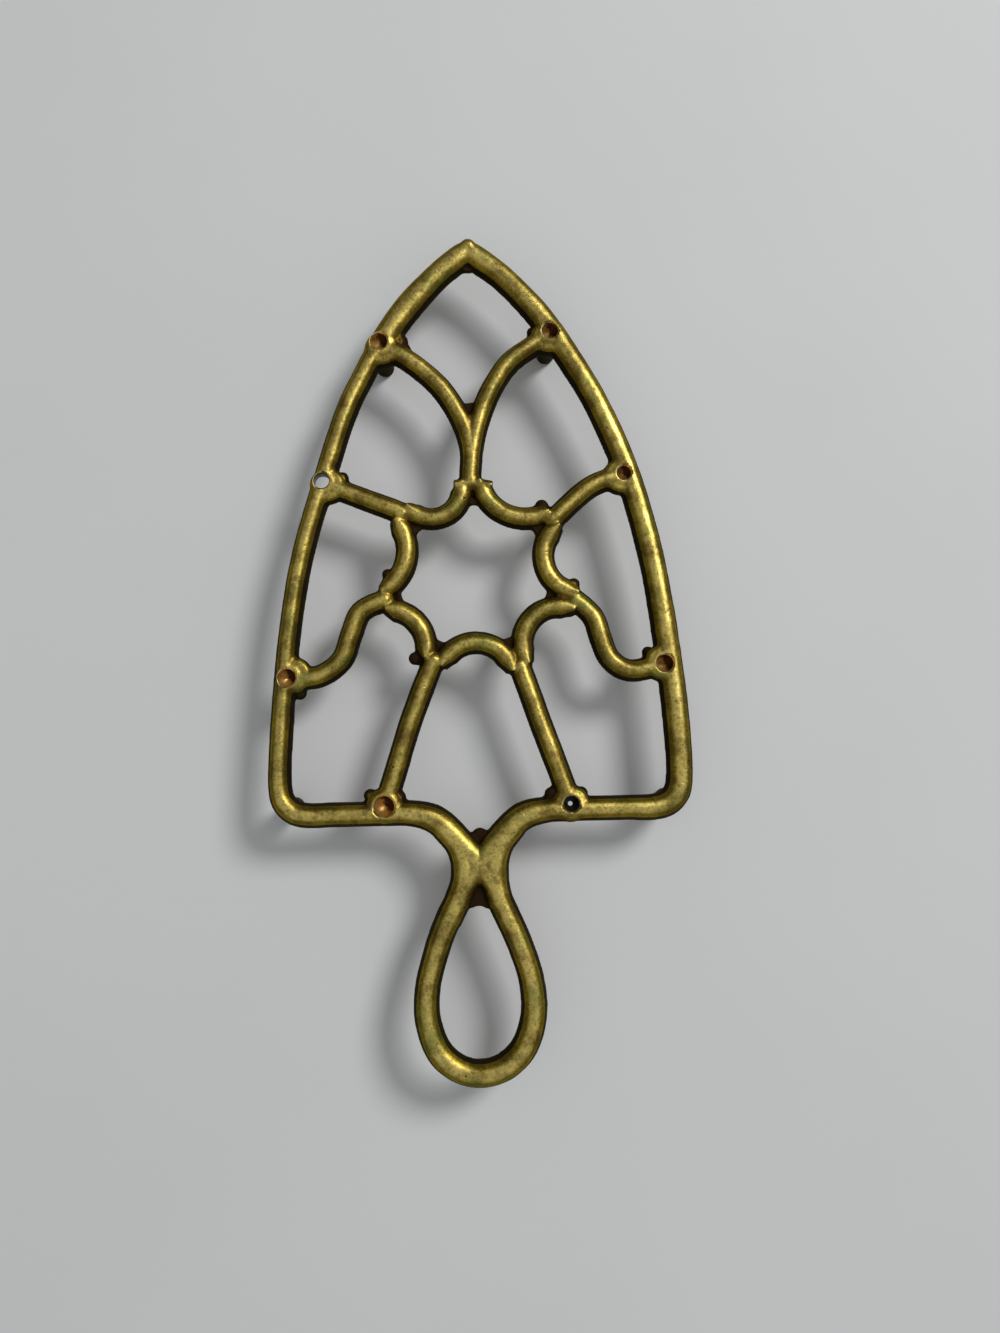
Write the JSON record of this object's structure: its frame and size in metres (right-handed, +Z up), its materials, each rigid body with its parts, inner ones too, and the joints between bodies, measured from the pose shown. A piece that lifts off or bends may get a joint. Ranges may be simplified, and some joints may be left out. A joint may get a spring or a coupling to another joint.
{
  "type": "flat iron trivet",
  "caption": "Openwork brass trivet on short feet: a pointed frame with a star ring and curved spokes inside and a teardrop hanging loop behind, for resting a hot flat iron.",
  "frame": {"origin": "on the floor under the middle of the outline", "axes": "+Y towards the pointed tip, the loop behind at -Y; +Z up; +X to the right with the tip pointing away"},
  "size_m": [0.1196, 0.2428, 0.018],
  "materials": {
    "cast_brass": "antique patina with polished crests",
    "foot_brass": "dark patina"
  },
  "bodies": {
    "root": {"frame_tip": "cast_brass", "frame_left_rail": "cast_brass", "frame_right_rail": "cast_brass", "rear_left_bar": "cast_brass", "rear_right_bar": "cast_brass", "neck": "cast_brass", "handle_loop": "cast_brass", "star_ring": "cast_brass", "front_fork": "cast_brass", "left_upper_spoke": "cast_brass", "right_upper_spoke": "cast_brass", "left_scroll_spoke": "cast_brass", "right_scroll_spoke": "cast_brass", "left_lower_spoke": "cast_brass", "right_lower_spoke": "cast_brass", "front_left_foot": "foot_brass", "front_right_foot": "foot_brass", "rear_left_foot": "foot_brass", "rear_right_foot": "foot_brass"}
  },
  "joints": []
}
